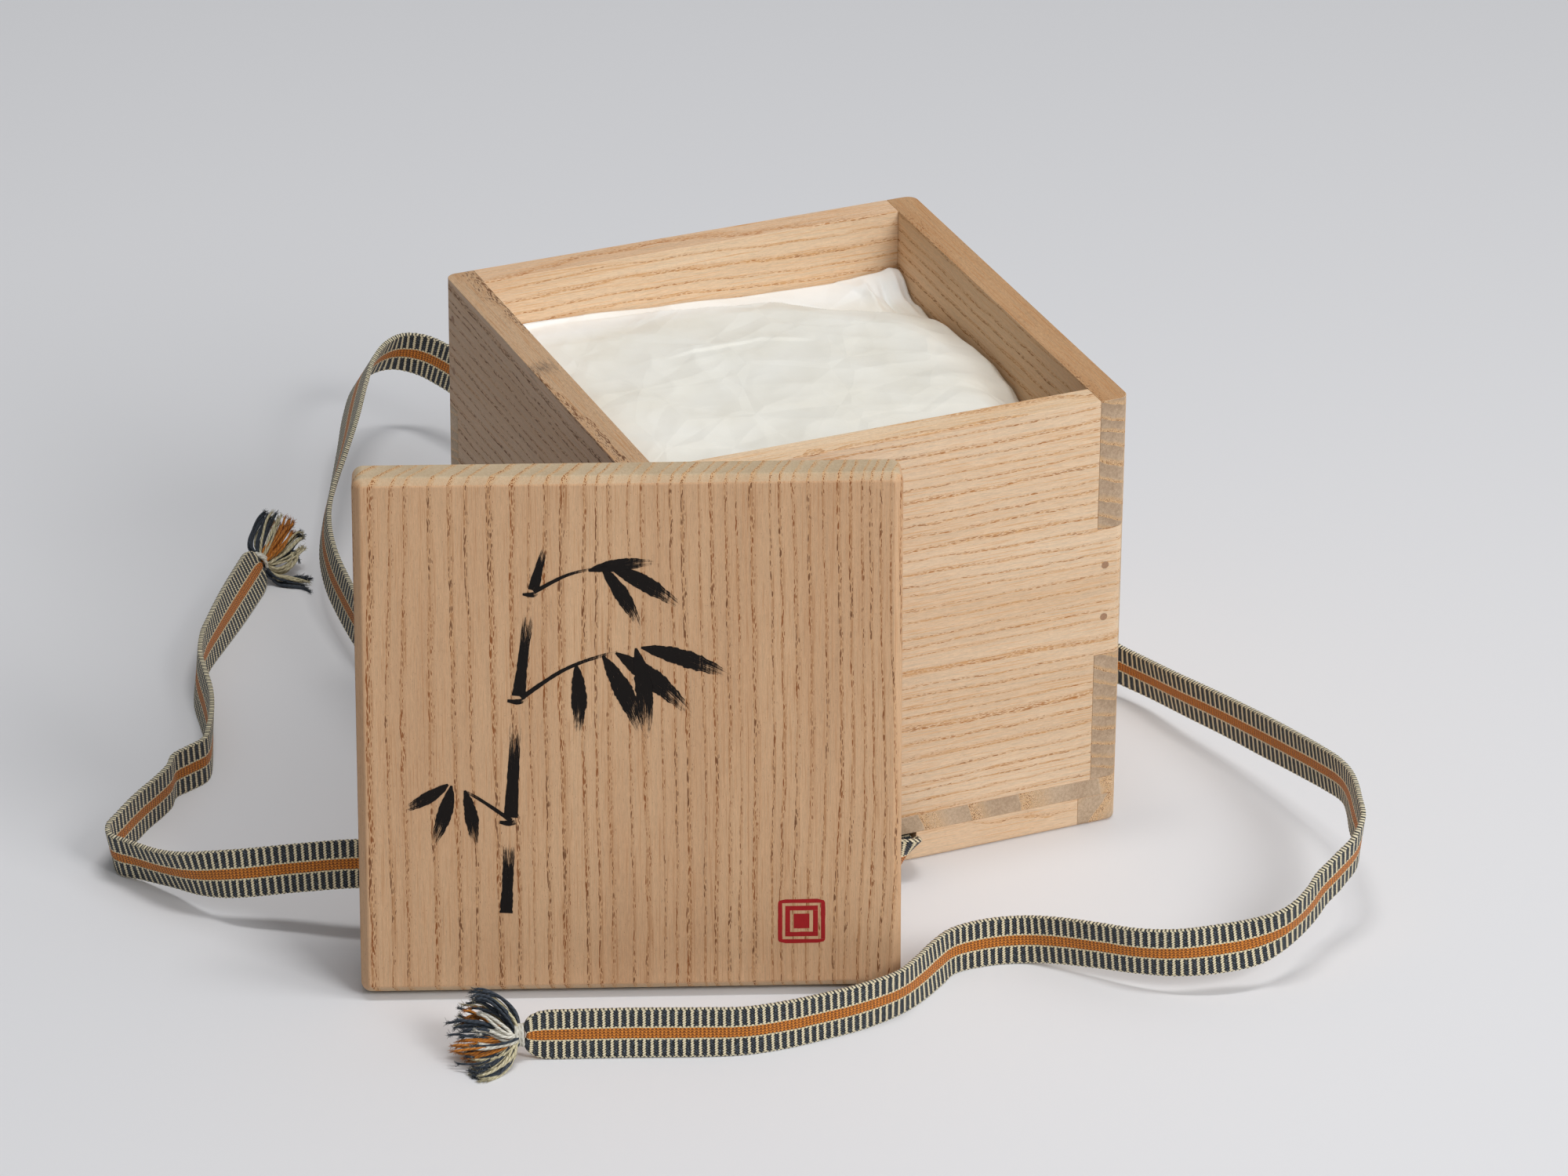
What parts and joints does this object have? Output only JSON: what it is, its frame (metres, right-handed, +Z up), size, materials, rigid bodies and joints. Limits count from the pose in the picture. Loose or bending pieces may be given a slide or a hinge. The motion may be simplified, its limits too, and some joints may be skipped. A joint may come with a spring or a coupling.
{
  "type": "tomobako storage box",
  "caption": "Square wooden storage box on a low footed base, lid leaned on one corner, woven ribbon laid out loose, paper wrapping inside.",
  "frame": {"origin": "on the surface that the box stands on, under the middle of the box and its leaning lid together", "axes": "+X along the box's front to its right, +Y to its back, +Z up"},
  "size_m": [0.3657, 0.4665, 0.165],
  "materials": {
    "box_wood": "bare planed paulownia, pale tan, aged",
    "lid_wood": "bare planed paulownia, a little redder and more worn",
    "peg_wood": "bare end grain",
    "ribbon": "flat woven cotton, ochre centre stripe and navy and cream bars",
    "tie_thread": "cream cotton thread, wound",
    "tassel_yarn": "frayed cotton yarn, navy, cream and ochre",
    "wrapping_paper": "thin matt white wrapping paper"
  },
  "bodies": {
    "box": {"front_board": "box_wood", "back_board": "box_wood", "left_board": "box_wood", "right_board": "box_wood", "base_board": "box_wood", "front_foot": "box_wood", "back_foot": "box_wood", "left_foot": "box_wood", "right_foot": "box_wood", "peg_front_left_low_1": "peg_wood", "peg_front_left_low_2": "peg_wood", "peg_front_left_middle_1": "peg_wood", "peg_front_left_middle_2": "peg_wood", "peg_front_left_high_1": "peg_wood", "peg_front_left_high_2": "peg_wood", "peg_front_right_low_1": "peg_wood", "peg_front_right_low_2": "peg_wood", "peg_front_right_middle_1": "peg_wood", "peg_front_right_middle_2": "peg_wood", "peg_front_right_high_1": "peg_wood", "peg_front_right_high_2": "peg_wood", "peg_back_left_low_1": "peg_wood", "peg_back_left_low_2": "peg_wood", "peg_back_left_middle_1": "peg_wood", "peg_back_left_middle_2": "peg_wood", "peg_back_left_high_1": "peg_wood", "peg_back_left_high_2": "peg_wood", "peg_back_right_low_1": "peg_wood", "peg_back_right_low_2": "peg_wood", "peg_back_right_middle_1": "peg_wood", "peg_back_right_middle_2": "peg_wood", "peg_back_right_high_1": "peg_wood", "peg_back_right_high_2": "peg_wood", "ribbon_front_end": "ribbon", "ribbon_side_end": "ribbon", "ribbon_loop": "ribbon", "ribbon_under_front_back": "ribbon", "ribbon_under_left_right": "ribbon", "tie_front": "tie_thread", "tie_side": "tie_thread", "tassel_front": "tassel_yarn", "tassel_side": "tassel_yarn"},
    "lid": {"lid_board": "lid_wood", "lid_batten_low": "lid_wood", "lid_batten_high": "lid_wood", "lid_batten_left": "lid_wood", "lid_batten_right": "lid_wood", "lid_batten_low_peg_1": "peg_wood", "lid_batten_low_peg_2": "peg_wood", "lid_batten_high_peg_1": "peg_wood", "lid_batten_high_peg_2": "peg_wood", "lid_batten_left_peg_1": "peg_wood", "lid_batten_left_peg_2": "peg_wood", "lid_batten_right_peg_1": "peg_wood", "lid_batten_right_peg_2": "peg_wood"},
    "wrapping": {"wrapping": "wrapping_paper"}
  },
  "joints": [
    {"name": "lid_lift", "type": "slide", "parent": "box", "child": "lid", "axis": [0, 0, 1], "range_m": [0, 0.2]},
    {"name": "wrapping_lift", "type": "slide", "parent": "box", "child": "wrapping", "axis": [0, 0, 1], "range_m": [0, 0.15]}
  ]
}
